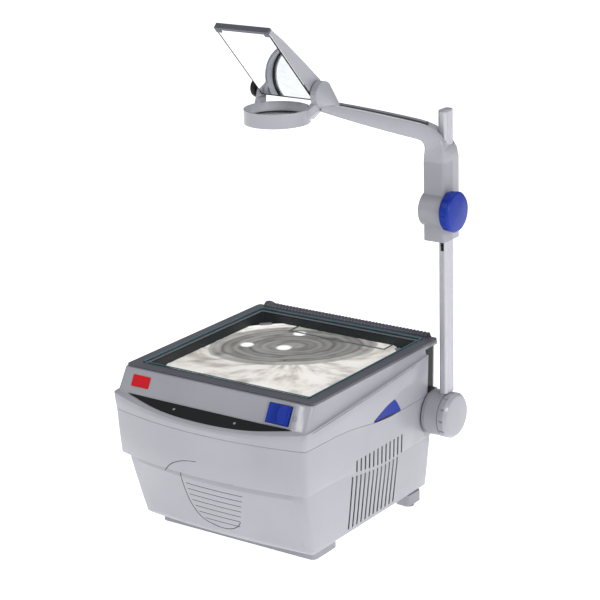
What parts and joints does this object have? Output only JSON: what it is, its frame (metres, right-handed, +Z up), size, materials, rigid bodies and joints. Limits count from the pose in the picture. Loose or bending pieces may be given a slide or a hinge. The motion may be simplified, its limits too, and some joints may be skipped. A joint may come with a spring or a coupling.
{
  "type": "overhead projector",
  "caption": "Overhead projector with a bright square stage, a hinged stage cover, a folding side post, a rack-driven focus carriage and a tilting head mirror.",
  "frame": {"origin": "on the table, straight below the middle of the stage, where the optical axis meets the surface the feet stand on", "axes": "+Z up along the optical axis, +X to the side with the post and the rocker, -Y to the front with the slanted panel"},
  "size_m": [0.3918, 0.3761, 0.7325],
  "materials": {
    "case_plastic": "fine moulded texture, light silver grey",
    "trim_plastic": "moulded, mid grey",
    "rim_plastic": "moulded, slate grey",
    "dark_plastic": "moulded, near black",
    "rubber": "moulded",
    "steel": "zinc plated",
    "reflector_metal": "polished",
    "ceramic": "unglazed white ceramic",
    "copper": "enamelled winding wire",
    "column_metal": "satin anodised extrusion",
    "clear_glass": "float glass",
    "lens_acrylic": "moulded acrylic with fine grooves",
    "mirror_silver": "front silvered",
    "blue_plastic": "semi-gloss moulded",
    "red_badge": "plain printed label",
    "mark_grey": "printed",
    "felt": "pressed felt"
  },
  "bodies": {
    "base": {"lower_case": "case_plastic", "grip_panel": "trim_plastic", "front_foot": "trim_plastic", "rear_feet": "trim_plastic", "foot_pads": "rubber", "band_case": "case_plastic", "hinge_pins": "steel", "chassis_deck": "steel", "lamp_house": "steel", "lamp_holder": "ceramic", "halogen_lamp": "clear_glass", "lamp_reflector": "reflector_metal", "condenser_lens": "clear_glass", "thermal_cutout": "dark_plastic", "transformer_core": "steel", "transformer_coils": "copper", "fan_frame": "dark_plastic", "power_inlet": "dark_plastic", "case_screws": "steel", "clamp_bracket": "trim_plastic", "clamp_stud": "steel"},
    "fan": {"fan_rotor": "dark_plastic"},
    "stage_cover": {"stage_frame": "case_plastic", "stage_rim": "rim_plastic", "stage_glass": "clear_glass", "fresnel_frame": "dark_plastic", "fresnel_lens": "lens_acrylic", "fresnel_clips": "trim_plastic", "lens_bail": "steel", "front_strip": "dark_plastic", "badge": "red_badge", "strip_lights": "mark_grey", "switch_bezel": "trim_plastic", "power_mark": "mark_grey", "corner_liner": "dark_plastic"},
    "rocker": {"power_rocker": "blue_plastic"},
    "right_latch_button": {"right_latch": "blue_plastic"},
    "left_latch_button": {"left_latch": "blue_plastic"},
    "column": {"post_hub": "case_plastic", "post": "column_metal", "post_cap": "trim_plastic", "gear_rack": "dark_plastic"},
    "clamp": {"clamp_knob": "case_plastic"},
    "carriage": {"carriage_front": "trim_plastic", "carriage_back": "case_plastic", "carriage_screws": "steel", "friction_pad": "felt", "arm": "case_plastic", "arm_channel": "dark_plastic", "head_bracket": "case_plastic", "lens_ring": "case_plastic", "objective_lens": "clear_glass", "lens_retainer": "dark_plastic"},
    "focus": {"pinion_shaft": "steel", "focus_knob": "blue_plastic"},
    "mirror": {"mirror_frame": "case_plastic", "mirror_glass": "mirror_silver", "mirror_rail": "rim_plastic", "mirror_pin": "steel", "tilt_knob": "dark_plastic"}
  },
  "joints": [
    {"name": "cover_hinge", "type": "hinge", "parent": "base", "child": "stage_cover", "pos_m": [0, 0.164, 0.178], "axis": [-1, 0, 0], "range_deg": [0, 45]},
    {"name": "rocker_pivot", "type": "hinge", "parent": "stage_cover", "child": "rocker", "pos_m": [0.115, -0.17085, 0.23059], "axis": [0, 0.4706, 0.8824], "range_deg": [0, 12]},
    {"name": "right_latch_press", "type": "slide", "parent": "stage_cover", "child": "right_latch_button", "axis": [-1, 0, 0], "range_m": [0, 0.003], "stiffness_N_per_m": 600, "springref_m": -0.001},
    {"name": "left_latch_press", "type": "slide", "parent": "stage_cover", "child": "left_latch_button", "axis": [1, 0, 0], "range_m": [0, 0.003], "stiffness_N_per_m": 600, "springref_m": -0.001},
    {"name": "fan_spin", "type": "hinge", "parent": "base", "child": "fan", "pos_m": [0.113, -0.006, 0.108], "axis": [1, 0, 0], "continuous": true},
    {"name": "post_fold", "type": "hinge", "parent": "base", "child": "column", "pos_m": [0.1723, 0.133, 0.148], "axis": [1, 0, 0], "range_deg": [0, 70]},
    {"name": "clamp_turn", "type": "hinge", "parent": "base", "child": "clamp", "pos_m": [0.1933, 0.133, 0.148], "axis": [1, 0, 0], "range_deg": [-120, 120]},
    {"name": "focus_slide", "type": "slide", "parent": "column", "child": "carriage", "axis": [0, 0, 1], "range_m": [-0.04, 0.04]},
    {"name": "focus_turn", "type": "hinge", "parent": "carriage", "child": "focus", "pos_m": [0.191, 0.11708, 0.458], "axis": [-1, 0, 0], "range_deg": [-320, 320]},
    {"name": "mirror_tilt", "type": "hinge", "parent": "carriage", "child": "mirror", "pos_m": [0, 0.034, 0.623], "axis": [1, 0, 0], "range_deg": [-12, 30]}
  ],
  "couplings": [
    {"joint": "focus_turn", "follows": "focus_slide", "rad_per_m": 138.89}
  ]
}
